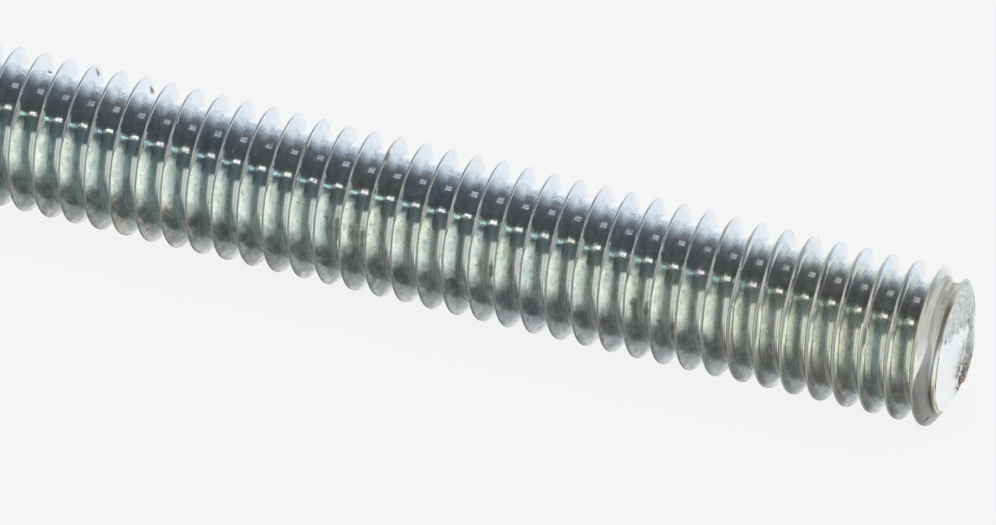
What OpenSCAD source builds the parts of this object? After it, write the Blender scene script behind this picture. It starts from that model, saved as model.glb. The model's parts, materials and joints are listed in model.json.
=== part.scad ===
// Threaded rod: one steel bar with a rolled right-hand thread from end to end
// and two cut, bevelled ends. The bar lies along X with its middle at the
// origin. All sizes are in millimetres.

/* [Thread] */
// Size that the thread and its nuts are named by
nominal_d = 6; // [5:0.5:8]
// Distance along the bar from one crest to the next
pitch = 1; // [0.8:0.05:1.5]
// How far the crests stay under the nominal diameter, for plating and fit
crest_undersize = 0.1; // [0:0.01:0.2]
// Angle between the two flanks of a groove
flank_angle = 60; // [50:1:65]
// Where the crest runs out through the +X end, as an angle about the bar
runout_angle = 120; // [0:5:355]

/* [Bar] */
// Length over both end faces
rod_length = 80; // [40:1:100]

/* [Ends] */
// How far the flat end face stays inside the root of the thread
face_inset = 0.03; // [0.02:0.01:0.3]
// Angle between the end bevel and the end face
bevel_angle = 35; // [30:5:60]

/* [Hidden] */

// Flats at the crest and at the root, as the standard metric profile has them.
crest_flat = pitch / 8;
root_flat = pitch / 6;
flank_run = (pitch - crest_flat - root_flat) / 2;
thread_depth = flank_run / tan(flank_angle / 2);

crest_r = (nominal_d - crest_undersize) / 2;
root_r = crest_r - thread_depth;
face_r = root_r - face_inset;
end_x = rod_length / 2;

// One groove and one ridge, as [distance along the bar, radius].
profile = [
    [0, root_r],
    [root_flat, root_r],
    [root_flat + flank_run, crest_r],
    [root_flat + flank_run + crest_flat, crest_r],
];
corners = len(profile);
crest_middle = root_flat + flank_run + crest_flat / 2;

// The helix is built past both end faces, where end_cut() trims it.
turns = ceil(rod_length / pitch) + 2;
rows = turns * corners + 1;
helix_start = end_x - crest_middle - (turns - 1) * pitch;

// As many sides to a turn as a fixed total of facets allows. Their corners lie
// on the true radii, so the many-sided thread stays inside the round one.
facet_budget = 12600;
fewest_sides = 12;
most_sides = 48;
sides = min(most_sides, max(fewest_sides, floor(facet_budget / (2 * rows))));

// Smoothness of the turned end bevels
bevel_sides = 96;

// The helix stands on Z here; threaded_rod() lays it along X.
function corner_point(row, side) =
    let (
        corner = profile[row % corners],
        turn = floor(row / corners) + side / sides,
        angle = runout_angle + 360 * side / sides
    )
    [
        corner[1] * cos(angle),
        corner[1] * sin(angle),
        helix_start + turn * pitch + corner[0],
    ];

// Index of a corner point in the list of points
function at(row, side) = side * rows + row;

// The two triangles of a four-sided patch, seen clockwise from outside
function patch(a, b, c, d) = [[a, c, b], [a, d, c]];

// Triangles that close a rim towards one middle point
function fan(middle, rim) = [for (i = [0 : len(rim) - 2]) [middle, rim[i], rim[i + 1]]];

module helix() {
    last_row = rows - 1;
    last_side = sides - 1;
    low_middle = sides * rows;
    high_middle = low_middle + 1;

    points = concat(
        [for (side = [0 : last_side], row = [0 : last_row]) corner_point(row, side)],
        [[0, 0, helix_start], [0, 0, helix_start + (turns + 1) * pitch]]
    );
    walls = [
        for (side = [0 : last_side - 1], row = [0 : last_row - 1])
            each patch(at(row, side), at(row, side + 1), at(row + 1, side + 1), at(row + 1, side))
    ];
    // After a full turn the last side meets the first one, a pitch further on.
    seam = [
        for (row = [0 : last_row - corners - 1])
            each patch(at(row, last_side), at(row + corners, 0),
                at(row + corners + 1, 0), at(row + 1, last_side))
    ];
    low_rim = concat(
        [for (side = [0 : last_side]) at(0, side)],
        [for (row = [corners : -1 : 0]) at(row, 0)]
    );
    high_rim = concat(
        [for (side = [last_side : -1 : 0]) at(last_row, side)],
        [for (row = [last_row - corners : last_row]) at(row, last_side)]
    );
    polyhedron(points, concat(walls, seam, fan(low_middle, low_rim), fan(high_middle, high_rim)));
}

// What is cut away at the +X end: all that lies past the face or outside the bevel
module end_cut() {
    outer_r = crest_r + pitch;
    bevel_run = (outer_r - face_r) * tan(bevel_angle);
    past_helix = end_x + 4 * pitch;
    rotate_extrude($fn = bevel_sides)
        polygon([
            [0, end_x],
            [face_r, end_x],
            [outer_r, end_x - bevel_run],
            [outer_r, past_helix],
            [0, past_helix],
        ]);
}

module threaded_rod() {
    color([0.77, 0.79, 0.79])
    rotate([0, 90, 0])
    difference() {
        helix();
        end_cut();
        mirror([0, 0, 1]) end_cut();
    }
}

threaded_rod();
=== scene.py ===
# %% [markdown]
# # A zinc-plated threaded rod
# The real thing is a length of cold-drawn steel bar whose thread was rolled into its surface between
# hardened dies, then plated with bright zinc and cut to length. This lesson builds the look of that one
# piece of metal: its rolled thread, its two cut ends, its plating, and the small studio that it mirrors. A
# polished thread is nearly a mirror, so half of its look is its own shape and the other half is what stands
# around it.

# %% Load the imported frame
import json
import math

import bmesh
import bpy
import numpy as np
from mathutils import Matrix, Vector


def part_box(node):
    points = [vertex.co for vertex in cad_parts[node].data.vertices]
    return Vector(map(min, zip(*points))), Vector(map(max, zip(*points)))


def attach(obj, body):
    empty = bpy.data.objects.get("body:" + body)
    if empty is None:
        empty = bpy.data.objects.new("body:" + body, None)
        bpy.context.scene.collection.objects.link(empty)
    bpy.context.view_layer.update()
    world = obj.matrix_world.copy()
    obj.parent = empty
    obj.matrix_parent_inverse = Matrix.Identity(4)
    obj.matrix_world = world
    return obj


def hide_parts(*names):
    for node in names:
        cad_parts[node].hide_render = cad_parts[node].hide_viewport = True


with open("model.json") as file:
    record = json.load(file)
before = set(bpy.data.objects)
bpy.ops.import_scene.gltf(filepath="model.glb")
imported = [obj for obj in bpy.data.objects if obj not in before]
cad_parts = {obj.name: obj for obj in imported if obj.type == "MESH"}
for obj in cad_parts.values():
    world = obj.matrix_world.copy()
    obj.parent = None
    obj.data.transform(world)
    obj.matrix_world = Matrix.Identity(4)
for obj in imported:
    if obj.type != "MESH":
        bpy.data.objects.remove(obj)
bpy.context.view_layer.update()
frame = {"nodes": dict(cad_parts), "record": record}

print("the frame holds", [name for name in frame["nodes"]])

# %% [markdown]
# ## Sizes that come from the frame
# The bar lies along X with its middle at the origin. Its ends and the radius of its crests are read from
# the frame, so the visible rod can't drift away from the solid that it stands for. The thread itself is a
# standard coarse one, so its pitch is a round number, and the rest of its section follows from that pitch.

# %% Read the bar's ends and radii
MM = 0.001
TURN = 2 * math.pi

low_corner, high_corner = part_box("threaded_rod")
far_x = low_corner[0]
cut_x = high_corner[0]
crest_r = frame["record"]["mounts"][0]["dims"]["r_mm"] * MM

pitch = 1.0 * MM
thread_depth = 0.60 * pitch
root_r = crest_r - thread_depth
mean_r = (crest_r + root_r) / 2
print("bar from", far_x, "to", cut_x, "crest radius", crest_r, "root radius", root_r)

# %% [markdown]
# ## The camera
# A long lens from half a metre away keeps the turns of the thread nearly parallel, as a product shot does.
# The camera looks down on the cut end from its front and a little from its right, and the rod runs out of
# the picture on the left. Only its place and its aim are chosen here; the width of the view is given in
# real millimetres at the rod.

# %% Place the camera
camera_turn = math.radians(20.43)
camera_rise = math.radians(39.82)
camera_distance = 476 * MM
view_width = 36.32 * MM
aim_from_cut = 17.52 * MM
aim_below_axis = 0.742 * MM

camera_right = Vector((math.cos(camera_turn), math.sin(camera_turn), 0))
camera_back = Vector((
    math.sin(camera_turn) * math.cos(camera_rise),
    -math.cos(camera_turn) * math.cos(camera_rise),
    math.sin(camera_rise),
))
camera_up = camera_back.cross(camera_right)
aim = Vector((cut_x - aim_from_cut, 0, 0)) - camera_up * aim_below_axis

nearest_seen = 0.01
furthest_seen = 20
sensor_width_mm = 36


def add_object(name, data):
    """A new object in the scene."""
    made = bpy.data.objects.new(name, data)
    bpy.context.collection.objects.link(made)
    return made


camera_data = bpy.data.cameras.new("camera")
camera_data.sensor_width = sensor_width_mm
camera_data.lens = camera_data.sensor_width * camera_distance / view_width
camera_data.clip_start = nearest_seen
camera_data.clip_end = furthest_seen
camera = add_object("camera", camera_data)
camera_axes = Matrix((camera_right, camera_up, camera_back)).transposed().to_4x4()
camera.matrix_world = Matrix.Translation(aim + camera_back * camera_distance) @ camera_axes
bpy.context.scene.camera = camera
bpy.context.scene.view_settings.view_transform = "Standard"
print("lens", round(camera_data.lens, 1), "mm")

# %% [markdown]
# ## The section of the thread
# A rolled thread isn't cut: the metal is squeezed out of the grooves until it stands up as ridges. Each
# ridge rises on both sides and meets along its crest, where a fine crease often stays between the two lips.
# The flanks are almost flat, with round corners at root and crest, and the flank towards the cut end leans
# a little more than the other. The section could be drawn as a curve and swept with a Screw modifier, but a
# formula for the radius gives every point its exact slope too, and that is what a mirror shows.

# %% Describe the ridge and groove
crest_width = 0.052 * MM
far_lean = math.radians(27)
near_lean = math.radians(30)
crest_rounding = 0.040 * MM
root_rounding = 0.035 * MM
crease_depth = 0.007 * MM
crease_width = 0.013 * MM
runout_angle = math.radians(120)


def soft_min(a, b, reach):
    """The smaller of two values, with the corner between them rounded over a reach."""
    overlap = np.maximum(reach - np.abs(a - b), 0) / reach
    return np.minimum(a, b) - overlap**2 * reach / 4


def soft_max(a, b, reach):
    """The larger of two values, with the corner between them rounded over a reach."""
    return -soft_min(-a, -b, reach)


def from_crest(x, angle):
    """Signed distance along the bar from the nearest crest, and the number of that crest."""
    turns = (x - cut_x) / pitch - (angle - runout_angle) / TURN
    number = np.round(turns)
    return (turns - number) * pitch, number


def even_radius(x, angle):
    """Radius of a perfect thread at a place along the bar and an angle about it."""
    s, _ = from_crest(x, angle)
    spread = np.where(s < 0, math.tan(far_lean), math.tan(near_lean))
    flank = crest_r - (np.abs(s) - crest_width / 2) / spread
    r = soft_min(flank, crest_r + 0 * s, crest_rounding)
    r = soft_max(r, root_r + 0 * s, root_rounding)
    return r - crease_depth * np.exp(-((s / crease_width) ** 2))


flank_widths = thread_depth * (math.tan(far_lean) + math.tan(near_lean))
print("groove floor", round((pitch - crest_width - flank_widths) / MM, 3), "mm wide")

# %% [markdown]
# ## Hand marks in the metal
# No rolled ridge is perfect. The dies leave slow waves in the flanks, the crests stand a few hundredths of
# a millimetre high or low, and rods that knock together in a box get flats and nicks on their crests. Near
# the cut end the crests were worn down by gripping, and the last groove was crushed shallow beside the cut.
# These could be painted as bump, but a nick on a crest shows against the background, so it is real shape
# here: it takes the crest down over a short length. The waves are a sum of a few plane waves with a fixed
# seed, smooth and the same each time.

# %% Describe waves over the metal
wave_count = 14
wave_spread = (0.6, 1.6)
slow_wave = {"size": 1.3 * MM, "height": 0.0022 * MM, "seed": 1}
quick_wave = {"size": 0.5 * MM, "height": 0.0011 * MM, "seed": 2}
crest_wave = {"size": 2.4 * MM, "height": 0.005 * MM, "seed": 3}


def ramp(value, start, end):
    """0 before start, 1 after end, smooth between."""
    share = np.clip((value - start) / (end - start), 0, 1)
    return share * share * (3 - 2 * share)


def waves(points, size, height, seed):
    """A smooth, uneven field over points in space: plane waves in seeded directions."""
    draw = np.random.default_rng(seed)
    field = np.zeros(points.shape[:-1])
    for _ in range(wave_count):
        way = draw.normal(size=3)
        way /= np.linalg.norm(way)
        length = size * draw.uniform(*wave_spread)
        field += np.sin(points @ (way * TURN / length) + draw.uniform(0, TURN))
    return height * field / math.sqrt(wave_count / 2)


def swing_from(angle, middle):
    """Angle from a middle angle, the short way round."""
    return (angle - middle + math.pi) % TURN - math.pi


def bar_points(x, r, angle):
    """Points on or in the bar; angle 0 hangs straight down."""
    return np.stack([x + 0 * r, r * np.sin(angle), -r * np.cos(angle)], -1)


print("three fields of", wave_count, "waves")

# %% Scatter nicks over the crests
nick_seed = 11
nick_count = 46
nick_reaches = (0.07, 0.13)
nick_depths_mm = (0.02, 0.06)

nick_draw = np.random.default_rng(nick_seed)
bar_turns = int(round((cut_x - far_x) / pitch))
nicks = [
    {
        "crest": -int(nick_draw.integers(0, bar_turns)),
        "angle": nick_draw.uniform(-math.pi, math.pi),
        "reach": nick_draw.uniform(*nick_reaches),
        "depth": nick_draw.uniform(*nick_depths_mm) * MM,
    }
    for _ in range(nick_count)
]


def nick_depth(number, angle):
    """How far the crest with this number is knocked down at an angle."""
    depth = np.zeros(np.broadcast(number, angle).shape)
    for nick in nicks:
        here = number == nick["crest"]
        swing = swing_from(angle, nick["angle"])
        depth += here * nick["depth"] * np.exp(-((swing / nick["reach"]) ** 2))
    return depth


print(len(nicks), "nicks over", bar_turns, "turns")

# %% Wear and crush the thread beside the cut
grip_wear = 0.052 * MM
grip_length = 11 * MM
grip_fade = 4 * MM
crest_top_rounding = 0.02 * MM
crushed_floor = 0.30 * MM
crushed_sink = 0.02 * MM
crushed_rounding = 0.08 * MM
crushed_angle = math.radians(-170)
crushed_reach = math.radians(24)
crushed_length = 0.9 * MM
crushed_full = 0.7 * crushed_length


def crushed_share(x, angle):
    """1 where the last groove was crushed shallow beside the cut, 0 elsewhere."""
    swing = np.abs(swing_from(angle, crushed_angle))
    turned = 1 - ramp(swing, crushed_reach, 2 * crushed_reach)
    return turned * ramp(x, cut_x - crushed_length, cut_x - crushed_full)


def bar_radius(x, angle):
    """Radius of the real, slightly uneven thread."""
    r = even_radius(x, angle)
    r = soft_max(r, root_r + crushed_share(x, angle) * crushed_floor - crushed_sink, crushed_rounding)
    points = bar_points(x, r, angle)
    _, number = from_crest(x, angle)
    crest_top = crest_r - np.abs(waves(points, **crest_wave)) - nick_depth(number, angle)
    crest_top = crest_top - grip_wear * np.clip((x - cut_x + grip_length) / grip_fade, 0, 1)
    r = soft_min(r, crest_top, crest_top_rounding)
    return r + waves(points, **slow_wave) + waves(points, **quick_wave)


print("crests worn by", grip_wear / MM, "mm over the last", grip_length / MM, "mm")

# %% [markdown]
# ## The bar as a mesh
# The mesh follows the helix: each row of points runs once round the bar and ends one pitch further on, so
# the edges lie along the crests and flanks and never cross them. Rows crowd together at the crest and at
# the root, where the section bends, and a flank needs only two faces across. The helix is built longer than
# the bar, and closed, so that the ends can be cut afterwards with clean edges.

# %% Lay points along the helix
columns = 53
far_steps = (-0.5, -0.358, -0.344, -0.332, -0.320, -0.304, -0.170, -0.056, -0.036, -0.024, -0.012)
near_steps = (0, 0.012, 0.024, 0.036, 0.056, 0.200, 0.344, 0.358, 0.372, 0.384, 0.398)
spare_turns = 2

steps = np.array([*far_steps, *near_steps])
rows_per_turn = len(steps)
turn_numbers = np.arange(-bar_turns - spare_turns, spare_turns)
row_at = np.append((turn_numbers[:, None] + steps).ravel(), spare_turns + steps[0])
row_count = len(row_at)

column_numbers = np.arange(columns)[:, None]
grid_x = cut_x + (row_at + column_numbers / columns) * pitch
grid_angle = runout_angle + TURN * column_numbers / columns + 0 * grid_x
grid_r = bar_radius(grid_x, grid_angle)
grid_points = bar_points(grid_x, grid_r, grid_angle)
print(columns, "columns of", row_count, "points,", rows_per_turn, "to a turn")


# %% Join the points into a closed helix
def helix_faces():
    """Faces between neighbouring columns; the last column meets the first one a turn further on."""
    row = np.arange(row_count - 1)
    strips = []
    for column in range(columns - 1):
        a = column * row_count + row
        strips.append(np.stack([a, a + 1, a + row_count + 1, a + row_count], 1))
    row = row[: row_count - 1 - rows_per_turn]
    a = (columns - 1) * row_count + row
    b = row + rows_per_turn
    strips.append(np.stack([a, a + 1, b + 1, b], 1))
    return np.concatenate(strips)


bar_mesh = bpy.data.meshes.new("bar")
bar_mesh.from_pydata(grid_points.reshape(-1, 3).tolist(), [], helix_faces().tolist())
build = bmesh.new()
build.from_mesh(bar_mesh)
bmesh.ops.delete(build, geom=[vert for vert in build.verts if not vert.link_faces], context="VERTS")
bmesh.ops.holes_fill(build, edges=[edge for edge in build.edges if edge.is_boundary], sides=0)
bmesh.ops.triangulate(build, faces=[face for face in build.faces if len(face.verts) > 4])
bmesh.ops.recalc_face_normals(build, faces=build.faces)
build.to_mesh(bar_mesh)
build.free()
rod = add_object("zinc_plated_rod", bar_mesh)
print("helix of", len(bar_mesh.polygons), "faces")

# %% [markdown]
# ## The two cut ends
# The bar was cropped, not sawn. A blade rolled the edge over where it entered and sheared the lower part of
# the end smooth; the upper part broke away and is left grainy; on the far lower side the metal tore and
# stands up in a rough lip. A quick bevel was then ground on, off centre and steeper at the top. The other
# end can't be seen in use, so it's a plain flat cut with an even bevel. Each end is made as the surface of
# a cutter: a solid whose inner face is the wanted end, taken away from the bar with a Boolean. That gives
# true edges where the bevel crosses each ridge. A Boolean can also leave faces too thin to have an area, so
# edges far finer than the shape are dissolved afterwards.

# %% Describe the rims and the bevel
bevel_angle = math.radians(31)
top_bevel_extra = math.radians(16)
bevel_top = (0.72, 1.0)
rim_r = crest_r - 0.56 * MM
rim_shift = 0.20 * MM
shift_angle = math.radians(50)
roll_lean = math.radians(9)
roll_width = 0.40 * MM
roll_least = 0.03 * MM
roll_angle = math.radians(-100)
roll_reach = math.radians(60)


def outer_rim(angle, uneven):
    """Radius at which the bevel begins; it was ground off centre."""
    return rim_r + uneven * rim_shift * np.cos(angle - shift_angle)


def inner_rim(angle, uneven):
    """Radius at which the flat face ends; the blade rolled the edge over where it entered."""
    roll = uneven * roll_width * np.exp(-((swing_from(angle, roll_angle) / roll_reach) ** 2))
    return outer_rim(angle, uneven) - roll_least - roll


def bevel_lean(angle, uneven):
    """Steepness of the bevel: hand-ground, so it's steeper at the top."""
    return bevel_angle + uneven * ramp(-np.cos(angle), *bevel_top) * top_bevel_extra


print("bevel of", round(math.degrees(bevel_angle)), "degrees")

# %% Describe the surface of the sheared end
jag_wave = {"size": 0.55 * MM, "height": 0.07 * MM, "seed": 21}
grain_wave = {"size": 0.26 * MM, "height": 1.0, "seed": 22}
plain_wave = {"size": 0.9 * MM, "height": 0.004 * MM, "seed": 23}
break_lean = 0.43
break_height = 0.60 * MM
break_drop = 0.020 * MM
broken_grain = 0.010 * MM
torn_grain = 0.014 * MM
blade_grain = 0.0015 * MM
edge_blur = 0.04 * MM
torn_blur = 0.05 * MM
calm_rim = (0.80, 1.0)
lip_angle = math.radians(55)
lip_start = 1.75 * MM
lip_height = 0.19 * MM
lip_rise = 0.26 * MM
lip_first = math.radians(-14)
lip_last = math.radians(78)
lip_swell = math.radians(26)
lip_sink = math.radians(30)


def in_end_plane(y, z):
    """Spots on the end, as points."""
    return np.stack([0 * y, y, z], -1)


def break_out(y, z):
    """How high a spot lies towards the broken side; the line between is jagged."""
    return z + break_lean * y + waves(in_end_plane(y, z), **jag_wave)


def tear_out(y, z):
    """How far a spot lies towards the torn side."""
    return y * math.sin(lip_angle) - z * math.cos(lip_angle) + waves(in_end_plane(y, z), **jag_wave)


def sheared_height(y, z, share):
    """How far the sheared end stands out of its plane."""
    grain = waves(in_end_plane(y, z), **grain_wave)
    broken = ramp(break_out(y, z), break_height - edge_blur, break_height + edge_blur)
    out = tear_out(y, z)
    torn = ramp(out, lip_start - edge_blur, lip_start + torn_blur)
    calm = 1 - ramp(share, *calm_rim)
    height = broken * (broken_grain * grain * calm - break_drop)
    height += torn * torn_grain * grain * calm
    angle = np.arctan2(y, -z)
    along_lip = ramp(angle, lip_first, lip_first + lip_swell)
    along_lip = along_lip * ramp(angle, lip_last, lip_last - lip_sink)
    height += along_lip * lip_height * ramp(out, lip_start - edge_blur, lip_start + lip_rise)
    return height + blade_grain * grain * calm


def plain_height(y, z, share):
    """A flat cut with faint unevenness."""
    return waves(in_end_plane(y, z), **plain_wave)


print("lip stands", round(lip_height / MM, 2), "mm out of the end")

# %% Build a cutter for an end
FACE_SLOT = 1
BEVEL_SLOT = 2
cutter_reach = 3 * pitch
roll_shares = (0.12, 0.5, 0.9, 1.0)
bevel_shares = (0.03, 0.12, 0.3, 0.6, 1.0)


def end_cutter(name, end_x, outward, uneven, height, rings, sides):
    """A solid past one end of the bar, whose inner side has the shape of that end."""
    angle = TURN * np.arange(sides) / sides
    rim = inner_rim(angle, uneven)
    bevel_start = outer_rim(angle, uneven)
    slope = np.tan(bevel_lean(angle, uneven))
    outer = crest_r + pitch
    back_x = end_x + outward * cutter_reach

    def face_ring(share):
        r = rim * share
        y = r * np.sin(angle)
        z = -r * np.cos(angle)
        return bar_points(end_x + outward * height(y, z, share + 0 * angle), r, angle)

    inner = [face_ring(share) for share in np.linspace(1 / rings, 1, rings)]
    bevel = []
    for share in roll_shares:
        r = rim + (bevel_start - rim) * share
        x = end_x - outward * (r - rim) * math.tan(roll_lean)
        bevel.append(bar_points(x + (1 - share) ** 2 * (inner[-1][:, 0] - end_x), r, angle))
    drop = (bevel_start - rim) * math.tan(roll_lean)
    for share in bevel_shares:
        r = bevel_start + (outer - bevel_start) * share
        bevel.append(bar_points(end_x - outward * (drop + (r - bevel_start) * slope), r, angle))
    loops = inner + bevel + [bar_points(back_x, outer + 0 * angle, angle)]

    cutter = bmesh.new()
    verts = [[cutter.verts.new(point) for point in loop] for loop in loops]
    centre = cutter.verts.new((end_x, 0, 0))
    back_centre = cutter.verts.new((back_x, 0, 0))
    for i in range(sides):
        j = (i + 1) % sides
        cutter.faces.new((centre, verts[0][i], verts[0][j])).material_index = FACE_SLOT
        for level in range(len(loops) - 1):
            corners = (verts[level][i], verts[level + 1][i], verts[level + 1][j], verts[level][j])
            on_face = level < rings - 1
            cutter.faces.new(corners).material_index = FACE_SLOT if on_face else BEVEL_SLOT
        cutter.faces.new((verts[-1][i], back_centre, verts[-1][j])).material_index = BEVEL_SLOT
    bmesh.ops.recalc_face_normals(cutter, faces=cutter.faces)
    mesh = bpy.data.meshes.new(name)
    cutter.to_mesh(mesh)
    cutter.free()
    return add_object(name, mesh)


print("cutter reaches", cutter_reach / MM, "mm past an end")


# %% Cut both ends
thinnest_edge = 0.0002 * MM


def cut_ends(bar, cutters):
    """Takes the cutters away from the bar and keeps the result as the bar's own mesh."""
    for cutter in cutters:
        cut = bar.modifiers.new(cutter.name, "BOOLEAN")
        cut.operation = "DIFFERENCE"
        cut.solver = "MANIFOLD"
        cut.object = cutter
    graph = bpy.context.evaluated_depsgraph_get()
    bar_after = bpy.data.meshes.new_from_object(bar.evaluated_get(graph), depsgraph=graph)
    bar.modifiers.clear()
    tidied = bmesh.new()
    tidied.from_mesh(bar_after)
    bmesh.ops.dissolve_degenerate(tidied, dist=thinnest_edge, edges=tidied.edges)
    tidied.to_mesh(bar_after)
    tidied.free()
    bar.data = bar_after
    for cutter in cutters:
        bpy.data.objects.remove(cutter)


thread_metal = bpy.data.materials.new("bright_zinc_thread")
face_metal = bpy.data.materials.new("sheared_end_face")
bevel_metal = bpy.data.materials.new("ground_bevel")
cut_cutter = end_cutter("cut_end_cutter", cut_x, 1, 1, sheared_height, rings=24, sides=108)
far_cutter = end_cutter("far_end_cutter", far_x, -1, 0, plain_height, rings=10, sides=72)
for part in (rod, cut_cutter, far_cutter):
    for metal in (thread_metal, face_metal, bevel_metal):
        part.data.materials.append(metal)
cut_ends(rod, (cut_cutter, far_cutter))
triangle_count = sum(len(face.vertices) - 2 for face in rod.data.polygons)
print("rod of", triangle_count, "triangles")

# %% [markdown]
# ## Exact normals
# A mirror shows every wobble in the normals, and Blender's own smooth normals wobble where narrow faces
# meet wide ones. The radius formula gives the true slope at any point, so each corner on the thread takes
# its normal from the formula instead. The faces and bevels have no formula for their grain, so there the
# faces around a corner are averaged, each kind of surface apart, and the edges between the kinds stay
# sharp.


# %% Set the corner normals
slope_step = 0.002 * MM


def read_numbers(collection, attribute, kind, width=1):
    """One attribute of a mesh collection as an array."""
    numbers = np.empty(len(collection) * width, kind)
    collection.foreach_get(attribute, numbers)
    return numbers.reshape(-1, width) if width > 1 else numbers


def thread_normals(points):
    """Normals of the uneven thread, from the slope of its radius along and about the bar."""
    x = points[:, 0]
    angle = np.arctan2(points[:, 1], -points[:, 2])
    turn_step = slope_step / crest_r
    along = (bar_radius(x + slope_step, angle) - bar_radius(x - slope_step, angle)) / (2 * slope_step)
    about = (bar_radius(x, angle + turn_step) - bar_radius(x, angle - turn_step)) / (2 * turn_step)
    about /= np.hypot(points[:, 1], points[:, 2]) + 1e-9
    sine = np.sin(angle)
    cosine = np.cos(angle)
    normals = np.stack([-along, sine - about * cosine, -cosine - about * sine], -1)
    return normals / np.linalg.norm(normals, axis=1)[:, None]


rod_mesh = rod.data
points = read_numbers(rod_mesh.vertices, "co", np.float64, 3)
face_slot = read_numbers(rod_mesh.polygons, "material_index", np.int32)
face_size = read_numbers(rod_mesh.polygons, "loop_total", np.int32)
face_area = read_numbers(rod_mesh.polygons, "area", np.float64)
face_normal = read_numbers(rod_mesh.polygons, "normal", np.float64, 3)
face_centre = read_numbers(rod_mesh.polygons, "center", np.float64, 3)
corner_vertex = read_numbers(rod_mesh.loops, "vertex_index", np.int32)
corner_face = np.repeat(np.arange(len(rod_mesh.polygons)), face_size)

corner_normals = thread_normals(points)[corner_vertex]
for slot in (FACE_SLOT, BEVEL_SLOT):
    chosen = face_slot[corner_face] == slot
    summed = np.zeros_like(points)
    np.add.at(summed, corner_vertex[chosen], (face_normal * face_area[:, None])[corner_face[chosen]])
    summed /= np.linalg.norm(summed, axis=1)[:, None] + 1e-20
    corner_normals[chosen] = summed[corner_vertex[chosen]]
rod_mesh.polygons.foreach_set("use_smooth", np.ones(len(rod_mesh.polygons), bool))
rod_mesh.normals_split_custom_set(corner_normals.tolist())
print("normals set on", len(corner_normals), "corners")

# %% [markdown]
# ## A map along the thread
# The rolling dies drag fine lines along the helix, so the streaks in the finish need a place given as
# millimetres along the thread and across it. A UV map can hold exactly that: U runs along the helix from
# turn to turn, V from the crest down each flank. Each face takes both from its own ridge, so no face is
# torn between two turns.


# %% Map the thread in millimetres
def thread_map():
    """Place of every corner, in millimetres along the helix and across it from the crest."""
    centre_angle = np.arctan2(face_centre[:, 1], -face_centre[:, 2])
    _, crest_number = from_crest(face_centre[:, 0], centre_angle)
    corner = points[corner_vertex]
    angle = np.arctan2(corner[:, 1], -corner[:, 2])
    base = centre_angle[corner_face]
    angle = base + (angle - base + math.pi) % TURN - math.pi
    number = crest_number[corner_face]
    along = (number + angle / TURN) * TURN * mean_r
    across = corner[:, 0] - cut_x - (number + (angle - runout_angle) / TURN) * pitch
    return np.stack([along, across], -1) / MM


thread_uv = rod_mesh.uv_layers.new(name="thread_mm")
thread_uv.uv.foreach_set("vector", thread_map().astype(np.float32).ravel())
print("thread map over", round(float(np.ptp(thread_map()[:, 0]))), "mm of helix")

# %% [markdown]
# ## Marks that the finish needs
# Some finishes belong to a spot that only the shape knows: bare steel where a crest was knocked down, grey
# grain where the cut end broke away, rust along its torn lip. They could be painted by hand, but the same
# formulas that shaped the metal can say where each mark lies. Every point of the mesh carries the answer as
# an attribute, in millimetres, and the materials read it. Distances blend well between points, so the edge
# of a mark stays fine.


# %% Store the marks on the mesh
def store_mark(name, values):
    """A number for every point of the rod, which its materials can read."""
    mark = rod_mesh.attributes.new(name, "FLOAT", "POINT")
    mark.data.foreach_set("value", np.asarray(values, np.float32))


point_angle = np.arctan2(points[:, 1], -points[:, 2])
_, point_crest = from_crest(points[:, 0], point_angle)
point_r = np.hypot(points[:, 1], points[:, 2])
on_cut_end = points[:, 0] > 0
past_break = break_out(points[:, 1], points[:, 2]) - break_height
past_tear = tear_out(points[:, 1], points[:, 2]) - lip_start
store_mark("nick_mm", nick_depth(point_crest, point_angle) / MM)
store_mark("crushed", crushed_share(points[:, 0], point_angle))
store_mark("past_rim_mm", (point_r - inner_rim(point_angle, on_cut_end)) / MM)
store_mark("past_roll_mm", (point_r - outer_rim(point_angle, on_cut_end)) / MM)
store_mark("break_mm", np.where(on_cut_end, past_break / MM, -1))
store_mark("torn_mm", np.where(on_cut_end, past_tear / MM, -1))
print("deepest nick", round(float(nick_depth(point_crest, point_angle).max() / MM), 3), "mm")

# %% [markdown]
# ## Building shader nodes
# A material in Blender is a small network of nodes. Placing them by hand is quick for one, but here several
# effects are used on more than one metal, so each effect is a node group with named inputs and outputs,
# built once. Short helpers do the repeating work. They all add to the network that was opened last, which
# is always called tree.


# %% Helpers that add nodes
def add_node(kind, inputs=None, **settings):
    """Adds a node; inputs are numbers, colours or other nodes' outputs, settings are its own options."""
    made = tree.nodes.new(kind)
    for name, value in settings.items():
        setattr(made, name, value)
    for name, value in (inputs or {}).items():
        if isinstance(value, bpy.types.NodeSocket):
            tree.links.new(value, made.inputs[name])
        else:
            made.inputs[name].default_value = value
    return made


def link_all(sockets, values):
    """Links each named value to the socket of that name."""
    for name, value in values.items():
        tree.links.new(value, sockets[name])


def math_node(operation, a, b=0.0):
    """The result of one sum on two values."""
    return add_node("ShaderNodeMath", {0: a, 1: b}, operation=operation).outputs[0]


def times(first, second):
    """One value times another."""
    return math_node("MULTIPLY", first, second)


def overlap(first, *others):
    """Where all of these masks hold."""
    for other in others:
        first = times(first, other)
    return first


def without(share):
    """1 where a mask is 0, and 0 where it is 1."""
    return math_node("SUBTRACT", 1.0, share)


def added(value, share, amount):
    """A value with a share of a mask added to it."""
    return math_node("ADD", value, times(share, amount))


def summed(value, layers):
    """A value with several masks added to it, each by its amount."""
    for share, amount in layers:
        value = added(value, share, amount)
    return value


def fade(value, start, end):
    """0 at start, 1 at end, smooth between; start may be above end."""
    kind = {"interpolation_type": "SMOOTHSTEP"}
    return add_node("ShaderNodeMapRange", {0: value, 1: start, 2: end}, **kind).outputs[0]


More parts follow.
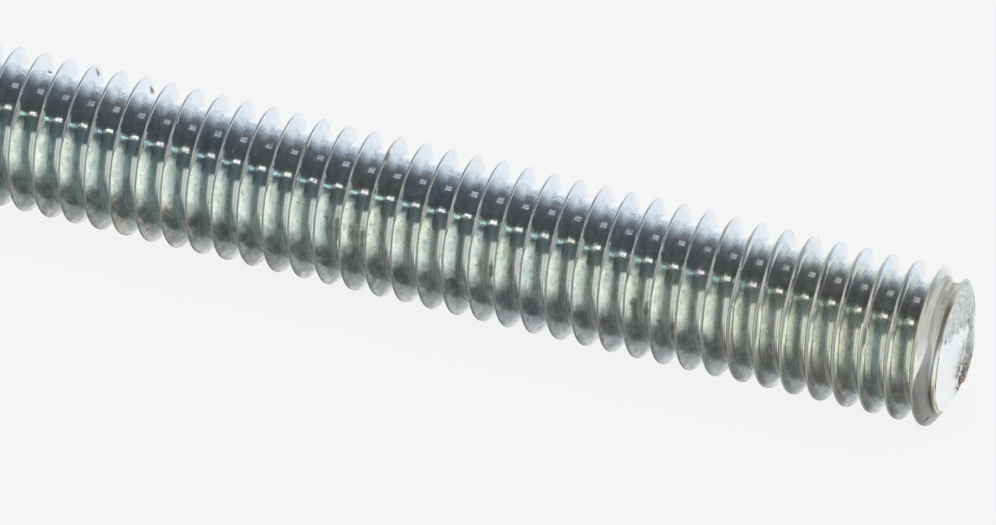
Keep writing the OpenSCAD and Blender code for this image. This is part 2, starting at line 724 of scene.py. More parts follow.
def vector_node(operation, first, second):
    """One sum on two vectors."""
    return add_node("ShaderNodeVectorMath", {0: first, 1: second}, operation=operation).outputs


print("helpers for sums and masks ready")


# %% Helpers for noise, colour and groups
def noise(place, scale, detail=2.0, roughness=0.55):
    """Soft random field over a place."""
    inputs = {"Vector": place, "Scale": scale, "Detail": detail, "Roughness": roughness}
    return add_node("ShaderNodeTexNoise", inputs).outputs[0]


def uneven(place, scale, roughness=0.6):
    """Soft random field that swings about 0."""
    return math_node("SUBTRACT", noise(place, scale, 3.0, roughness), 0.5)


def mix_colour(share, first, second):
    """The first colour turning into the second as share goes from 0 to 1."""
    inputs = {0: share, 6: first, 7: second}
    return add_node("ShaderNodeMix", inputs, data_type="RGBA").outputs[2]


def stained(colour, layers):
    """A colour with stains over it, each as strong as its mask times an amount."""
    for share, amount, stain in layers:
        colour = mix_colour(times(share, amount), colour, (*stain, 1))
    return colour


def new_group(name, inputs, outputs):
    """An empty node group with named sockets; gives its tree, its inputs and its outputs."""
    group = bpy.data.node_groups.new(name, "ShaderNodeTree")
    kinds = {"value": "NodeSocketFloat", "vector": "NodeSocketVector", "colour": "NodeSocketColor"}
    for socket, kind in inputs.items():
        group.interface.new_socket(socket, in_out="INPUT", socket_type=kinds[kind])
    for socket, kind in outputs.items():
        group.interface.new_socket(socket, in_out="OUTPUT", socket_type=kinds[kind])
    return group, group.nodes.new("NodeGroupInput").outputs, group.nodes.new("NodeGroupOutput").inputs


def use_group(group, inputs):
    """Places a group in a material with its own values."""
    return add_node("ShaderNodeGroup", inputs, node_tree=group).outputs


print("helpers for noise, colour and groups ready")

# %% [markdown]
# ## Effect: plating grain
# Bright zinc isn't quite smooth. The bath leaves a fine frosting of crystals, with small dull specks where
# a bubble sat or dirt dried on. Grain gives a height for the bump and a mask of specks, both at a size
# given in millimetres.

# %% Make the plating grain group
tree, take, give = new_group(
    "plating_grain",
    {"Place": "vector", "Fineness": "value"},
    {"Height": "value", "Specks": "value", "Cloud": "value"},
)
grain_group = tree
speck_field = noise(take["Place"], times(take["Fineness"], 0.55), 2.0, 0.7)
cloud_field = noise(take["Place"], times(take["Fineness"], 0.12), 3.0, 0.6)
link_all(give, {
    "Height": noise(take["Place"], take["Fineness"], 3.0, 0.65),
    "Specks": fade(speck_field, 0.58, 0.70),
    "Cloud": fade(cloud_field, 0.40, 0.62),
})
print(tree.name, "has", len(tree.nodes), "nodes")

# %% [markdown]
# ## Effect: rolling marks
# The dies slide a little as they roll, and drag long fine lines along the helix. Noise does this when its
# place is squeezed hard in one direction: the map along the thread gives that place, divided by how long
# and how wide a line is.

# %% Make the rolling marks group
tree, take, give = new_group(
    "rolling_marks",
    {"Map": "vector", "Length": "value", "Width": "value"},
    {"Height": "value", "Lines": "value"},
)
marks_group = tree
map_parts = add_node("ShaderNodeSeparateXYZ", {0: take["Map"]}).outputs
line_u = math_node("DIVIDE", map_parts[0], take["Length"])
line_v = math_node("DIVIDE", map_parts[1], take["Width"])
line_place = add_node("ShaderNodeCombineXYZ", {0: line_u, 1: line_v}).outputs[0]
line_field = noise(line_place, 1.0, 3.0, 0.6)
link_all(give, {"Height": line_field, "Lines": fade(line_field, 0.54, 0.70)})
print(tree.name, "has", len(tree.nodes), "nodes")

# %% [markdown]
# ## Effect: plating tint
# The plating is sealed with a thin clear film that shows faint colours, as oil on water does: cold blue
# where it's thin and straw yellow where it's thick. The colours drift slowly over the rod and more quickly
# across each ridge.

# %% Make the plating tint group
tree, take, give = new_group(
    "plating_tint",
    {"Place": "vector", "Plain": "colour", "Cold": "colour", "Straw": "colour", "Patch": "value"},
    {"Colour": "colour"},
)
tint_group = tree
patch_scale = math_node("DIVIDE", 1.0, take["Patch"])
slow_field = noise(take["Place"], patch_scale, 2.0, 0.5)
small_field = noise(take["Place"], times(patch_scale, 4.7), 2.0, 0.5)
both_fields = math_node("ADD", slow_field, small_field)
cooled = mix_colour(fade(both_fields, 0.98, 0.70), take["Plain"], take["Cold"])
link_all(give, {"Colour": mix_colour(fade(both_fields, 1.03, 1.30), cooled, take["Straw"])})
print(tree.name, "has", len(tree.nodes), "nodes")

# %% [markdown]
# ## Effect: rust and dirt
# Water and dirt stay in the grooves and along torn edges, and the zinc there gives way to brown stains. The
# group takes the places that hold dirt as a mask, breaks them up with patches and fine spots, and puts out
# a mask and a colour that runs from pale ochre at the edge of a stain to dark brown in its middle.

# %% Make the rust and dirt group
PALE_OCHRE = (0.36, 0.22, 0.09, 1)
DARK_BROWN = (0.075, 0.040, 0.018, 1)
tree, take, give = new_group(
    "rust_and_dirt",
    {"Place": "vector", "Hold": "value", "Patch": "value", "Amount": "value"},
    {"Mask": "value", "Colour": "colour"},
)
rust_group = tree
patch_scale = math_node("DIVIDE", 1.0, take["Patch"])
patches = noise(take["Place"], patch_scale, 2.0, 0.5)
spots = noise(take["Place"], times(patch_scale, 9.0), 3.0, 0.65)
patchy = added(times(patches, 1.5), spots, 0.9)
over = math_node("SUBTRACT", patchy, math_node("SUBTRACT", 2.0, take["Amount"]))
link_all(give, {
    "Mask": times(fade(over, 0.0, 0.35), take["Hold"]),
    "Colour": mix_colour(fade(over, 0.05, 0.55), PALE_OCHRE, DARK_BROWN),
})
print(tree.name, "has", len(tree.nodes), "nodes")

# %% [markdown]
# ## Finish: bright zinc on the thread
# Zinc plate is a metal, so nearly all its colour is what it mirrors: its own colour only has to be a light,
# nearly neutral grey. What makes it real are the small changes. The crests are rubbed to duller metal, oil
# and rust stain a few spots in the grooves, and the last turns beside the cut end were gripped and scraped,
# so they're duller and more yellow. Much of the colour below is painted light and shade as well: painted
# reflections, paler or bluer, on the tips, the top and the low side, painted shade at the feet of the
# flanks, along the crests and on the last flank, painted pale light on the groove floors at the front, and
# painted highlights on the crests and the last flank. Each mask below says where one of these lies: X runs
# towards the cut end, Y to the back and Z up, all in millimetres.


# %% Read a place in millimetres, and a mark
def place_in_mm():
    """The object's own coordinates in millimetres, and those three numbers apart."""
    own = add_node("ShaderNodeTexCoord").outputs["Object"]
    scaled = add_node("ShaderNodeVectorMath", {0: own, "Scale": 1 / MM}, operation="SCALE").outputs[0]
    return scaled, add_node("ShaderNodeSeparateXYZ", {0: scaled}).outputs


def read_mark(name):
    """A mark that the mesh carries."""
    return add_node("ShaderNodeAttribute", attribute_name=name).outputs["Fac"]


def start_metal(material):
    """A material's tree with nothing but a metal shader in it."""
    material.use_nodes = True
    return material.node_tree, material.node_tree.nodes["Principled BSDF"]


def finish_metal(shader, colour, dull, metal_share, bump_mm, height):
    """Gives a metal its colour, dullness, share of metal and fine relief."""
    bump = add_node("ShaderNodeBump", {"Distance": bump_mm * MM, "Height": height}).outputs[0]
    finish = {"Base Color": colour, "Roughness": dull, "Metallic": metal_share, "Normal": bump}
    link_all(shader.inputs, finish)


print("metals start from", bpy.app.version_string)

# %% Say which sides and stretches of the bar are which
tree, zinc = start_metal(thread_metal)
place, (mm_x, mm_y, mm_z) = place_in_mm()
cut_mm = cut_x / MM

handled = fade(mm_x, cut_mm - 12, cut_mm - 4)
gripped = fade(mm_x, 22, 28)
old_end = fade(mm_x, 21, 9)
before_last = fade(mm_x, cut_mm - 0.64, cut_mm - 0.76)
teal_turn = fade(math_node("ABSOLUTE", math_node("SUBTRACT", mm_x, cut_mm - 2.4)), 0.9, 0.5)
front_side = fade(mm_y, -1.25, -1.85)
floor_light_side = fade(mm_y, -1.55, -2.05)
front_crest = fade(mm_y, -1.6, -2.2)
back_tip_highlight = fade(mm_y, 0.55, 1.35)
top_blue_reflection = fade(mm_y, -0.1, 0.5)
low_side = overlap(fade(mm_z, 1.0, -0.3), fade(mm_z, -2.7, -2.1))
above_low = fade(mm_z, -0.9, 0.4)
low_tip_reflection = fade(mm_z, -1.7, -2.3)
dark_side = overlap(fade(mm_z, 1.7, 2.2), fade(mm_y, 0.3, -0.1))
rough_side = math_node("MAXIMUM", fade(mm_y, -0.25, 0.2), fade(mm_z, 0.6, -0.1))
print("sides and stretches in", len(tree.nodes), "nodes")

# %% Say where on the ridge each mark lies
thread_place = add_node("ShaderNodeUVMap", uv_map="thread_mm").outputs[0]
across = add_node("ShaderNodeSeparateXYZ", {0: thread_place}).outputs[1]
from_line = math_node("ABSOLUTE", across)
foot_ragged = uneven(place, 2.6, 0.65)

on_crest = fade(math_node("DIVIDE", from_line, added(1.0, handled, 0.35)), 0.040, 0.020)
in_groove = fade(from_line, 0.22, 0.36)
foot_shade = overlap(fade(added(across, foot_ragged, 0.40), 0.06, 0.34), front_side, before_last)
near_floor = overlap(fade(across, 0.20, 0.34), without(times(fade(across, 0.34, 0.50), 0.50)))
far_floor = times(fade(across, -0.34, -0.50), 0.50)
far_side = fade(across, -0.04, -0.07)
high_floor = overlap(fade(mm_y, -0.10, 0.12), fade(mm_y, 0.85, 0.58), fade(from_line, 0.27, 0.34))
last_flank = overlap(without(before_last), fade(across, 0.03, 0.06))
high_flank_light = overlap(last_flank, fade(mm_z, 0.8, 1.5))
streak_width = times(fade(mm_z, 0.4, 1.6), 0.26)
streak_edge = fade(math_node("SUBTRACT", added(across, foot_ragged, 0.10), streak_width), 0.08, 0.05)
last_flank_highlight = overlap(last_flank, fade(mm_z, 0.10, 0.50), fade(mm_z, 2.1, 1.6), streak_edge)
far_foot_light = overlap(fade(across, -0.46, -0.37), fade(across, -0.305, -0.335))
far_foot_light = overlap(far_foot_light, fade(mm_z, 0.2, 0.9), fade(mm_z, 1.60, 1.46))
nicked = fade(read_mark("nick_mm"), 0.02, 0.07)
crushed = read_mark("crushed")
crushed_line = overlap(crushed, fade(across, 0.28, 0.34), fade(across, 0.46, 0.40))
print("masks on the ridge in", len(tree.nodes), "nodes")

# %% Lay grain, lines, tint and dirt
grain = use_group(grain_group, {"Place": place, "Fineness": 12.0})
lines = use_group(marks_group, {"Map": thread_place, "Length": 1.1, "Width": 0.045})
streaks = use_group(marks_group, {"Map": thread_place, "Length": 0.55, "Width": 0.10})
tint = use_group(tint_group, {
    "Place": place,
    "Plain": (0.86, 0.87, 0.85, 1),
    "Cold": (0.77, 0.83, 0.86, 1),
    "Straw": (0.88, 0.86, 0.76, 1),
    "Patch": 2.2,
})
dirt = use_group(rust_group, {"Place": place, "Hold": in_groove, "Patch": 1.5, "Amount": 0.50})
blotch_field = math_node("ADD", noise(place, 3.6, 3.0, 0.62), streaks["Height"])
blotch = fade(math_node("ADD", blotch_field, noise(place, 0.9, 1.0, 0.5)), 1.40, 1.66)
haze = fade(noise(place, 1.7, 4.0, 0.65), 0.48, 0.62)
print("zinc so far of", len(tree.nodes), "nodes")

# %% Say where the ragged marks lie
floor_share = math_node("MAXIMUM", near_floor, far_floor)
front_floor_light = overlap(floor_share, floor_light_side, above_low, without(times(blotch, 0.55)))
teal_reflection = overlap(in_groove, front_side, math_node("MAXIMUM", old_end, teal_turn))
top_haze_shade = overlap(dark_side, haze)
low_blotch_shade = overlap(blotch, low_side)
high_floor_dark = overlap(high_floor, fade(grain["Height"], 0.35, 0.60))
low_blue_reflection = overlap(low_side, fade(mm_x, 12, 20), before_last)
front_teal_reflection = overlap(fade(noise(place, 0.62, 3.0, 0.6), 0.50, 0.62), fade(across, 0.02, 0.10), front_side)
low_flecks = overlap(low_side, fade(noise(thread_place, 3.0, 3.0, 0.65), 0.50, 0.62), fade(mm_z, 0.2, -0.6))
pale_grip = overlap(handled, fade(mm_z, 0.9, 1.3), fade(mm_z, 2.5, 2.0), front_side)
front_streak_shade = overlap(front_side, fade(streaks["Height"], 0.52, 0.66))
wedge_width = times(fade(mm_z, 2.80, 2.10), 0.10)
wedge_edge = math_node("SUBTRACT", added(across, foot_ragged, 0.20), wedge_width)
glint_wedge = overlap(fade(wedge_edge, 0.05, 0.0), fade(across, -0.03, -0.01), fade(streaks["Height"], 0.34, 0.56))
glint_wedge = overlap(glint_wedge, fade(mm_y, -0.7, -1.2), fade(mm_z, 1.85, 2.15))
crest_shade_line = overlap(on_crest, without(times(back_tip_highlight, 0.8)))
crest_highlight = overlap(crest_shade_line, fade(noise(place, 0.9, 2.0, 0.6), 0.47, 0.60))
print("zinc with ragged marks of", len(tree.nodes), "nodes")

# %% Colour the zinc
colour = stained(tint["Colour"], (
    (handled, 0.50, (0.80, 0.79, 0.67)),
    # painted reflection: the top and back of the rod are tinted pale blue, as if they mirror the sweep
    (top_blue_reflection, 0.60, (0.88, 0.92, 0.97)),
    # painted highlight: the thread towards the back is painted near white
    (back_tip_highlight, 0.85, (0.97, 0.93, 0.91)),
    # painted reflection: the lowest tips are painted pale and less metallic
    (low_tip_reflection, 0.75, (0.96, 0.94, 0.94)),
    # painted shade: a dim blue haze over the top front
    (top_haze_shade, 0.40, (0.60, 0.62, 0.80)),
    # painted shade: dark grey at the feet of the near flanks on the front
    (foot_shade, 0.85, (0.34, 0.37, 0.35)),
    # painted light: pale grey on the groove floors at the front, also duller and less metallic
    (front_floor_light, 0.90, (0.54, 0.58, 0.55)),
    # painted reflection: a teal tint in the grooves at the front, near the far stretch and 2.4 mm from the
    # cut
    (teal_reflection, 0.60, (0.42, 0.62, 0.66)),
    # the groove floors near the top are painted darker grey in a grainy pattern
    (high_floor_dark, 0.75, (0.36, 0.36, 0.39)),
    # painted shade: the last flank beside the cut is painted dark grey and less metallic
    (last_flank, 0.85, (0.31, 0.295, 0.28)),
    # painted light: the upper part of that flank is painted lighter
    (high_flank_light, 0.70, (0.62, 0.62, 0.59)),
    # painted highlight: a near-white streak down the last flank
    (last_flank_highlight, 0.95, (0.98, 0.99, 0.95)),
    # painted shade: dark blue-grey reflections in random blotches on the low side
    (low_blotch_shade, 0.62, (0.29, 0.34, 0.35)),
    # painted reflection: a faint blue on the low side
    (low_blue_reflection, 0.15, (0.50, 0.56, 0.72)),
    (grain["Cloud"], 0.12, (0.55, 0.59, 0.58)),
    (lines["Lines"], 0.24, (0.44, 0.46, 0.45)),
    # painted shade: dark streaks along the thread on the front side only
    (front_streak_shade, 0.42, (0.38, 0.42, 0.41)),
    # painted reflection: cold teal patches on the flanks at the front
    (front_teal_reflection, 0.28, (0.44, 0.55, 0.58)),
    (grain["Specks"], 0.35, (0.26, 0.27, 0.26)),
    # painted reflection: a cream tint on the far flanks of the gripped turns
    (overlap(far_side, handled), 0.45, (0.92, 0.88, 0.70)),
    # painted light: the foot of the far flank is painted pale and far less metallic
    (far_foot_light, 0.80, (0.93, 0.96, 0.91)),
    # painted highlight: a pale wedge from the crest down the far flank on the front
    (glint_wedge, 0.80, (0.66, 0.70, 0.66)),
    # painted shade: a dark grey line along the crests, fainter towards the back
    (crest_shade_line, 0.80, (0.34, 0.34, 0.34)),
    # painted highlight: cream patches along the crests
    (crest_highlight, 0.75, (0.68, 0.66, 0.60)),
    # painted shade: the crests are darker still at the front
    (overlap(crest_shade_line, front_crest), 0.60, (0.46, 0.45, 0.42)),
    (overlap(crest_shade_line, handled), 0.45, (0.70, 0.68, 0.55)),
    (crushed, 0.80, (0.70, 0.69, 0.62)),
    (overlap(crushed, lines["Lines"]), 0.60, (0.34, 0.32, 0.25)),
    (crushed_line, 0.60, (0.30, 0.28, 0.22)),
    (nicked, 0.80, (0.20, 0.14, 0.11)),
))
print("zinc coloured in", len(tree.nodes), "nodes")

# %% [markdown]
# ## Stains in the grooves
# A few spots of oil and rust stand alone, where something wet lay on the rod. Each is a soft oval on the
# map along the thread: its turn and angle, how far it lies from the crest, how long and wide it is, and its
# colour. They could be painted on an image, but an oval with a ragged edge is sharp at any size and is
# moved by changing one number.

# %% Lay the stains
RED_BROWN = (0.095, 0.042, 0.028)
OLIVE_BROWN = (0.105, 0.082, 0.042)
DARK_OIL = (0.060, 0.054, 0.046)
GREY_FILM = (0.24, 0.22, 0.22)
stains = (
    (-21, -177, 0.05, 0.34, 0.06, RED_BROWN),
    (-36, 154, 0.43, 0.22, 0.12, RED_BROWN),
    (-34, 148, 0.17, 0.30, 0.08, GREY_FILM),
    (-32, 142, 0.29, 0.34, 0.09, RED_BROWN),
    (-22, -110, -0.36, 0.75, 0.11, OLIVE_BROWN),
    (-16, -104, -0.34, 0.65, 0.10, DARK_OIL),
    (-10, -100, -0.34, 0.75, 0.13, OLIVE_BROWN),
    (-21, -106, -0.36, 0.80, 0.12, OLIVE_BROWN),
    (-36, -84, 0.38, 0.65, 0.12, OLIVE_BROWN),
    (-9, -88, -0.36, 0.80, 0.13, OLIVE_BROWN),
    (-11, -96, 0.30, 0.90, 0.10, OLIVE_BROWN),
    (0, -48, 0.20, 0.13, 0.10, RED_BROWN),
)
stain_strength = 0.85
stain_ragged = uneven(place, 5.0)
stain_cover = 0.0
for turn, angle, across_mm, length_mm, width_mm, stain in stains:
    along_mm = (turn + angle / 360) * TURN * mean_r / MM
    offset = vector_node("SUBTRACT", thread_place, (along_mm, across_mm, 0))[0]
    offset = vector_node("DIVIDE", offset, (length_mm, width_mm, 1))[0]
    away = add_node("ShaderNodeVectorMath", {0: offset}, operation="LENGTH").outputs["Value"]
    stain_share = fade(added(away, stain_ragged, 1.9), 1.25, 0.15)
    colour = stained(colour, ((stain_share, stain_strength, stain),))
    stain_cover = math_node("MAXIMUM", stain_cover, stain_share)
colour = mix_colour(dirt["Mask"], colour, dirt["Colour"])
print(len(stains), "stains")

# %% Dull and roughen the zinc
dull = summed(0.075, (
    (grain["Cloud"], 0.04),
    (handled, 0.02),
    (on_crest, 0.22),
    (grain["Specks"], 0.15),
    (low_blotch_shade, 0.08),
    (front_floor_light, 0.20),
    (crushed, 0.30),
    (stain_cover, 0.40),
    (last_flank, 0.10),
    (overlap(gripped, fade(across, 0.03, 0.09)), 0.06),
    (far_foot_light, 0.20),
    (glint_wedge, 0.25),
    (dirt["Mask"], 0.40),
))
metal_share = summed(1.0, (
    (dirt["Mask"], -0.80),
    (far_foot_light, -0.80),
    (low_tip_reflection, -0.30),
    (low_flecks, -0.14),
    (pale_grip, -0.12),
    (last_flank_highlight, -0.50),
    (glint_wedge, -0.50),
    (top_haze_shade, -0.06),
    (on_crest, -0.30),
    (overlap(on_crest, handled), -0.20),
    (front_floor_light, -0.42),
    (crushed, -0.45),
    (last_flank, -0.45),
    (stain_cover, -0.70),
))
height = summed(times(grain["Height"], 0.60), (
    (lines["Height"], 0.20),
    (overlap(front_side, streaks["Height"]), 2.0),
    (grain["Specks"], -0.30),
    (overlap(rough_side, noise(place, 8.0, 2.0, 0.6)), 0.90),
))
finish_metal(zinc, colour, dull, math_node("MAXIMUM", metal_share, 0.0), 0.0014, height)
print("thread finish of", len(tree.nodes), "nodes")

# %% [markdown]
# ## Finish: the sheared face
# The blade left a smooth, bright band across the face. Above it the steel broke and shows a pale grain with
# dark veins between the crystals; on the far side the torn lip has lost its shine and started to rust. The
# marks on the mesh say which is which, and fine noise makes their edges ragged.

# %% Say where the end face broke and tore
tree, steel = start_metal(face_metal)
place, (mm_x, mm_y, mm_z) = place_in_mm()
ragged = times(uneven(place, 5.0), 0.45)
broken = fade(math_node("ADD", read_mark("break_mm"), ragged), -0.03, 0.05)
torn = fade(math_node("ADD", read_mark("torn_mm"), ragged), -0.03, 0.05)
low_lip = fade(math_node("ADD", mm_z, ragged), -1.25, -1.75)
lip_edge = overlap(torn, fade(math_node("ADD", read_mark("past_rim_mm"), ragged), -0.26, -0.12))
rough_share = math_node("MAXIMUM", broken, torn)
veins = overlap(fade(math_node("ABSOLUTE", uneven(place, 3.6)), 0.030, 0.006), broken)
pale_grit = overlap(torn, fade(noise(place, 9.0, 2.0, 0.6), 0.58, 0.64))
rusty = overlap(torn, added(0.25, low_lip, 0.75))
grain = use_group(grain_group, {"Place": place, "Fineness": 14.0})
dirt = use_group(rust_group, {"Place": place, "Hold": rusty, "Patch": 0.35, "Amount": 0.98})
print("face masks in", len(tree.nodes), "nodes")

# %% Make the steel of the end face
pits = ((-0.82, 1.04), (1.82, 0.0), (1.84, -0.20))
colour = mix_colour(grain["Cloud"], (0.87, 0.875, 0.875, 1), (0.82, 0.84, 0.865, 1))
colour = stained(colour, (
    (broken, 1.0, (0.76, 0.80, 0.77)),
    (veins, 0.70, (0.30, 0.33, 0.30)),
    (torn, 1.0, (0.56, 0.60, 0.57)),
    (lip_edge, 0.75, (0.90, 0.88, 0.82)),
    (overlap(torn, low_lip), 0.80, (0.26, 0.20, 0.17)),
    (overlap(lip_edge, low_lip), 0.80, (0.36, 0.20, 0.12)),
    (overlap(grain["Specks"], rough_share), 0.60, (0.20, 0.19, 0.17)),
    (pale_grit, 0.80, (0.93, 0.92, 0.86)),
))
for y_mm, z_mm in pits:
    away = vector_node("DISTANCE", place, (cut_mm, y_mm, z_mm))["Value"]
    pit_share = fade(added(away, ragged, 0.5), 0.13, 0.06)
    colour = stained(colour, ((pit_share, 0.85, (0.12, 0.12, 0.13)),))
colour = mix_colour(dirt["Mask"], colour, dirt["Colour"])
dull = summed(0.22, ((rough_share, 0.14), (dirt["Mask"], 0.3)))
metal_share = added(1.0, dirt["Mask"], -0.8)
height = times(grain["Height"], math_node("ADD", 0.25, rough_share))
finish_metal(steel, colour, dull, metal_share, 0.010, math_node("SUBTRACT", height, veins))
print("face finish of", len(tree.nodes), "nodes")

# %% [markdown]
# ## Finish: the ground bevel
# The bevel was ground after plating, so it's bare steel. It's pale and straw-coloured on the rolled rim,
# dull with olive grinding rings at the top, and rust has crept in from the sharp edge on the front, where
# it ends in a dark line low down. The marks on the mesh give the distance past each rim, so every line
# follows the real edge.

# %% Say where the bevel is stained
tree, steel = start_metal(bevel_metal)
place, (mm_x, mm_y, mm_z) = place_in_mm()
past_rim = read_mark("past_rim_mm")
past_roll = read_mark("past_roll_mm")
ragged = times(uneven(place, 6.0), 0.14)
on_roll = fade(past_roll, 0.01, -0.03)
near_roll = math_node("ABSOLUTE", added(past_roll, ragged, 0.4))
roll_line = overlap(fade(near_roll, 0.075, 0.025), fade(mm_y, 0.0, -0.6))
front_rim = fade(mm_y, 0.3, -0.5)
back_rim = fade(mm_y, 0.2, 0.8)
rim_line = overlap(fade(math_node("ADD", past_rim, ragged), 0.13, 0.02), front_rim)
high_side = fade(mm_z, 0.9, 1.7)
high_rim = overlap(high_side, front_rim, fade(past_roll, 0.16, 0.06))
low_front = overlap(fade(mm_z, 0.4, -0.4), fade(mm_y, -0.2, -0.9))
low_roll = overlap(low_front, fade(past_roll, 0.20, 0.08), fade(past_rim, 0.04, 0.24))
bevel_light_band = overlap(fade(past_roll, 0.28, 0.20), fade(mm_z, 0.2, 0.7), fade(mm_z, 1.9, 1.5))
squeezed = {0: times(past_roll, 9.0), 1: times(mm_y, 0.8), 2: mm_z}
ring_place = add_node("ShaderNodeCombineXYZ", squeezed).outputs[0]
rings = overlap(high_side, fade(noise(ring_place, 1.0, 2.0, 0.6), 0.46, 0.60))
grain = use_group(grain_group, {"Place": place, "Fineness": 12.0})
dirt = use_group(rust_group, {"Place": place, "Hold": rim_line, "Patch": 0.7, "Amount": 1.05})
print("bevel masks in", len(tree.nodes), "nodes")

# %% Make the steel of the bevel
colour = mix_colour(grain["Cloud"], (0.74, 0.76, 0.73, 1), (0.60, 0.62, 0.59, 1))
colour = stained(colour, (
    (high_side, 0.80, (0.74, 0.73, 0.66)),
    (rings, 0.55, (0.36, 0.33, 0.26)),
    (on_roll, 0.85, (0.94, 0.88, 0.72)),
    (grain["Specks"], 0.55, (0.25, 0.22, 0.18)),
    # painted reflection: a pale blue-white band across the middle height of the bevel
    (bevel_light_band, 0.70, (0.84, 0.90, 0.87)),
    (high_rim, 0.85, (0.20, 0.15, 0.11)),
    (rim_line, 0.60, (0.52, 0.36, 0.22)),
    (roll_line, 0.70, (0.16, 0.14, 0.11)),
    (low_roll, 0.88, (0.11, 0.080, 0.060)),
))
colour = mix_colour(dirt["Mask"], colour, dirt["Colour"])
dull = summed(0.16, ((on_roll, 0.10), (high_side, 0.30), (dirt["Mask"], 0.30)))
metal_share = summed(1.0, ((dirt["Mask"], -0.8), (overlap(back_rim, on_roll), -0.90), (high_side, -0.40)))
finish_metal(steel, colour, dull, math_node("MAXIMUM", metal_share, 0.0), 0.0030, grain["Height"])
print("bevel finish of", len(tree.nodes), "nodes")

# %% [markdown]
# ## The studio
# A mirror needs something to mirror. A studio for bright metal hangs pale panels round it and leaves dark
# gaps between them, because the gaps draw the shape. Here the world is that studio, drawn by direction: a
# pale sweep, faintly blue, behind the rod and dimmer below it, a dark ceiling, a soft panel at the front
# left with a brighter one beside it, another at the right, and a faint one facing the cut end. Above the
# rod hang a white tube, a green one further left and a pair of narrow lamps. Lamps could do the same, but
# the world costs no samples on surfaces that don't face it. Dull surfaces are lit apart from all this, by
# plain even white, so that rust and dirt keep their colour.

# %% Directions in the studio
studio = bpy.data.worlds.new("studio")
studio.use_nodes = True
studio.cycles.sampling_method = "NONE"
bpy.context.scene.world = studio
tree = studio.node_tree
tree.nodes.clear()
toward = add_node("ShaderNodeTexCoord").outputs["Generated"]
toward_x, toward_y, toward_z = add_node("ShaderNodeSeparateXYZ", {0: toward}).outputs
toward_front = times(toward_y, -1.0)
around = math_node("DEGREES", math_node("ARCTAN2", toward_front, toward_z))
turn_from_x = math_node("DEGREES", math_node("ARCCOSINE", toward_x))


def between(value, start, end, soft):
    """1 between two angles and 0 outside, with soft edges."""
    return overlap(fade(value, start - soft, start + soft), fade(value, end + soft, end - soft))


def lit(colour, strength):
    """A colour times a strength that changes with direction."""
    return add_node("ShaderNodeVectorMath", {0: colour, "Scale": strength}, operation="SCALE").outputs[0]


def add_light(first, second):
    """Two lights together."""
    return vector_node("ADD", first, second)[0]


print("studio laid out round the rod: 0 is up, 90 the front, 180 down, -90 the back")

# %% Sweep and ceiling
sweep_colours = {
    -180: (0.27, 0.27, 0.265),
    -164: (0.38, 0.385, 0.38),
    -151: (0.70, 0.71, 0.71),
    -138: (0.98, 0.99, 0.99),
    -118: (0.98, 1.00, 1.03),
    -102: (0.97, 1.00, 1.05),
    -90: (0.92, 0.99, 1.06),
    -80: (0.84, 0.94, 1.02),
    -73: (0.79, 0.89, 0.99),
    -68: (0.67, 0.77, 0.87),
    -64: (0.55, 0.65, 0.76),
    -60: (0.40, 0.46, 0.54),
    -52: (0.27, 0.30, 0.33),
    -46: (0.145, 0.155, 0.185),
    -34: (0.102, 0.112, 0.138),
    -16: (0.082, 0.090, 0.102),
    4: (0.068, 0.077, 0.083),
    32: (0.110, 0.145, 0.155),
    62: (0.15, 0.18, 0.175),
    100: (0.16, 0.18, 0.165),
    140: (0.195, 0.200, 0.190),
    180: (0.27, 0.27, 0.265),
}
around_share = math_node("DIVIDE", math_node("ADD", around, 180.0), 360.0)
sweep = add_node("ShaderNodeValToRGB", {0: around_share})
stops = sweep.color_ramp.elements
stops.remove(stops[1])
stops[0].color = (*sweep_colours[-180], 1)
for angle, colour in list(sweep_colours.items())[1:]:
    stops.new((angle + 180) / 360).color = (*colour, 1)
blue_share = times(fade(turn_from_x, 104, 90), between(around, -125, -80, 10))
blue = mix_colour(blue_share, (1, 1, 1, 1), (0.88, 0.92, 0.95, 1))
light = vector_node("MULTIPLY", sweep.outputs[0], blue)[0]
print("sweep of", len(stops), "tones")

# %% Panels, tubes and the pair of lamps
front = overlap(fade(around, 34, 62), fade(around, 166, 98))
left_panel = overlap(fade(around, 26, 50), fade(around, 166, 98), fade(turn_from_x, 133.5, 137))
left_core = overlap(fade(around, 51, 54), fade(around, 162, 104), between(turn_from_x, 115, 135, 1.5))
right_panel = overlap(front, fade(turn_from_x, 64, 34))
end_panel = fade(turn_from_x, 34, 22)
white_tube = overlap(between(around, 13.7, 19.9, 0.4), between(turn_from_x, 92, 118, 1.5))
green_tube = overlap(between(around, 14.2, 19.4, 0.4), between(turn_from_x, 134, 152, 1.5))
lamp_pair = math_node("ADD", between(around, -35, -31, 0.8), between(around, -29, -25, 0.8))
lamps = overlap(lamp_pair, between(turn_from_x, 102.5, 108.5, 0.5))
hung_lights = (
    ((1.02, 1.06, 0.99), left_panel),
    ((1.16, 1.19, 1.14), left_core),
    ((0.80, 0.84, 0.76), right_panel),
    ((0.14, 0.13, 0.16), end_panel),
    ((1.04, 1.04, 0.99), white_tube),
    ((1.15, 1.80, 1.74), green_tube),
    ((0.52, 0.52, 0.57), lamps),
)
for light_colour, strength in hung_lights:
    light = add_light(light, lit(light_colour, strength))
print("studio tree of", len(tree.nodes), "nodes")

# %% Choose what each kind of ray sees
BACKDROP = 0.92
EVEN_LIGHT = 0.86


def grey(level):
    """A neutral colour."""
    return (level, level, level, 1)


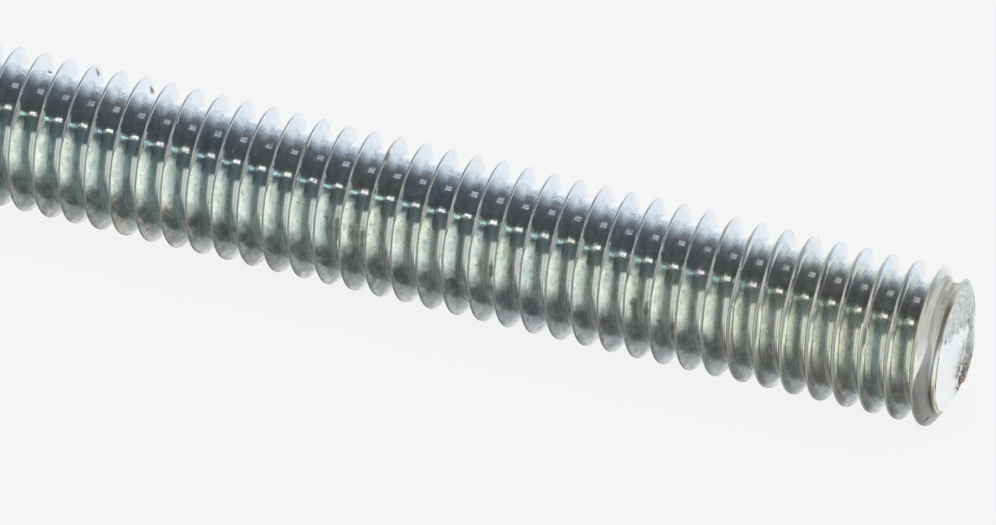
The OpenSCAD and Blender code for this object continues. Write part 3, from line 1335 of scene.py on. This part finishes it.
rays = add_node("ShaderNodeLightPath").outputs
mirrored = add_node("ShaderNodeBackground", {0: light}).outputs[0]
plain = add_node("ShaderNodeBackground", {0: grey(EVEN_LIGHT)}).outputs[0]
backdrop = add_node("ShaderNodeBackground", {0: grey(BACKDROP)}).outputs[0]
seen = add_node("ShaderNodeMixShader", {0: rays["Is Diffuse Ray"], 1: mirrored, 2: plain}).outputs[0]
seen = add_node("ShaderNodeMixShader", {0: rays["Is Camera Ray"], 1: seen, 2: backdrop}).outputs[0]
add_node("ShaderNodeOutputWorld", {0: seen})
print("backdrop", BACKDROP)

# %% [markdown]
# ## Floor and soft lamp
# The rod lies on a plain pale floor. To the camera the floor is almost as bright as the backdrop, with a
# little plain paint in it so that it still takes the rod's soft shadow. The metal doesn't mirror it,
# because the sweep in the studio is what stands there for a mirror. One broad lamp overhead gives the even
# white light a direction.

# %% Lay the floor
floor_paint = 0.05
floor_shade = 0.8
floor_reach = 3.0
floor_squares = 8
floor_build = bmesh.new()
bmesh.ops.create_grid(floor_build, x_segments=floor_squares, y_segments=floor_squares, size=floor_reach)
for vert in floor_build.verts:
    vert.co.z = low_corner[2]
floor_mesh = bpy.data.meshes.new("floor")
floor_build.to_mesh(floor_mesh)
floor_build.free()
floor = add_object("floor", floor_mesh)
floor.visible_glossy = False

floor_finish = bpy.data.materials.new("pale_floor")
floor_finish.use_nodes = True
tree = floor_finish.node_tree
tree.nodes.clear()
rays = add_node("ShaderNodeLightPath").outputs
glow = add_node("ShaderNodeEmission", {0: grey(BACKDROP - floor_paint)}).outputs[0]
paint = add_node("ShaderNodeBsdfDiffuse", {0: grey(floor_paint)}).outputs[0]
to_camera = add_node("ShaderNodeAddShader", {0: glow, 1: paint}).outputs[0]
to_others = add_node("ShaderNodeBsdfDiffuse", {0: grey(floor_shade)}).outputs[0]
seen = add_node("ShaderNodeMixShader", {0: rays["Is Camera Ray"], 1: to_others, 2: to_camera}).outputs[0]
add_node("ShaderNodeOutputMaterial", {0: seen})
floor.data.materials.append(floor_finish)

print("floor at", round(low_corner[2] / MM, 2), "mm")

# %% Hang the soft lamp
lamp_length = 0.5
lamp_width = 0.3
lamp_energy = 0.4
lamp_place = (0, -0.15, 0.5)
lamp_tilt = math.radians(-16)
lamp_data = bpy.data.lights.new("overhead_lamp", "AREA")
lamp_data.shape = "RECTANGLE"
lamp_data.size = lamp_length
lamp_data.size_y = lamp_width
lamp_data.energy = lamp_energy
overhead = add_object("overhead_lamp", lamp_data)
overhead.location = lamp_place
overhead.rotation_euler = (lamp_tilt, 0, 0)
overhead.visible_glossy = False
overhead.visible_camera = False
print("lamp of", lamp_energy, "W")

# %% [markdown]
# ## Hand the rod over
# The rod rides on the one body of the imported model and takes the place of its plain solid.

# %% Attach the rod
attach(rod, "root")
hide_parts("threaded_rod")
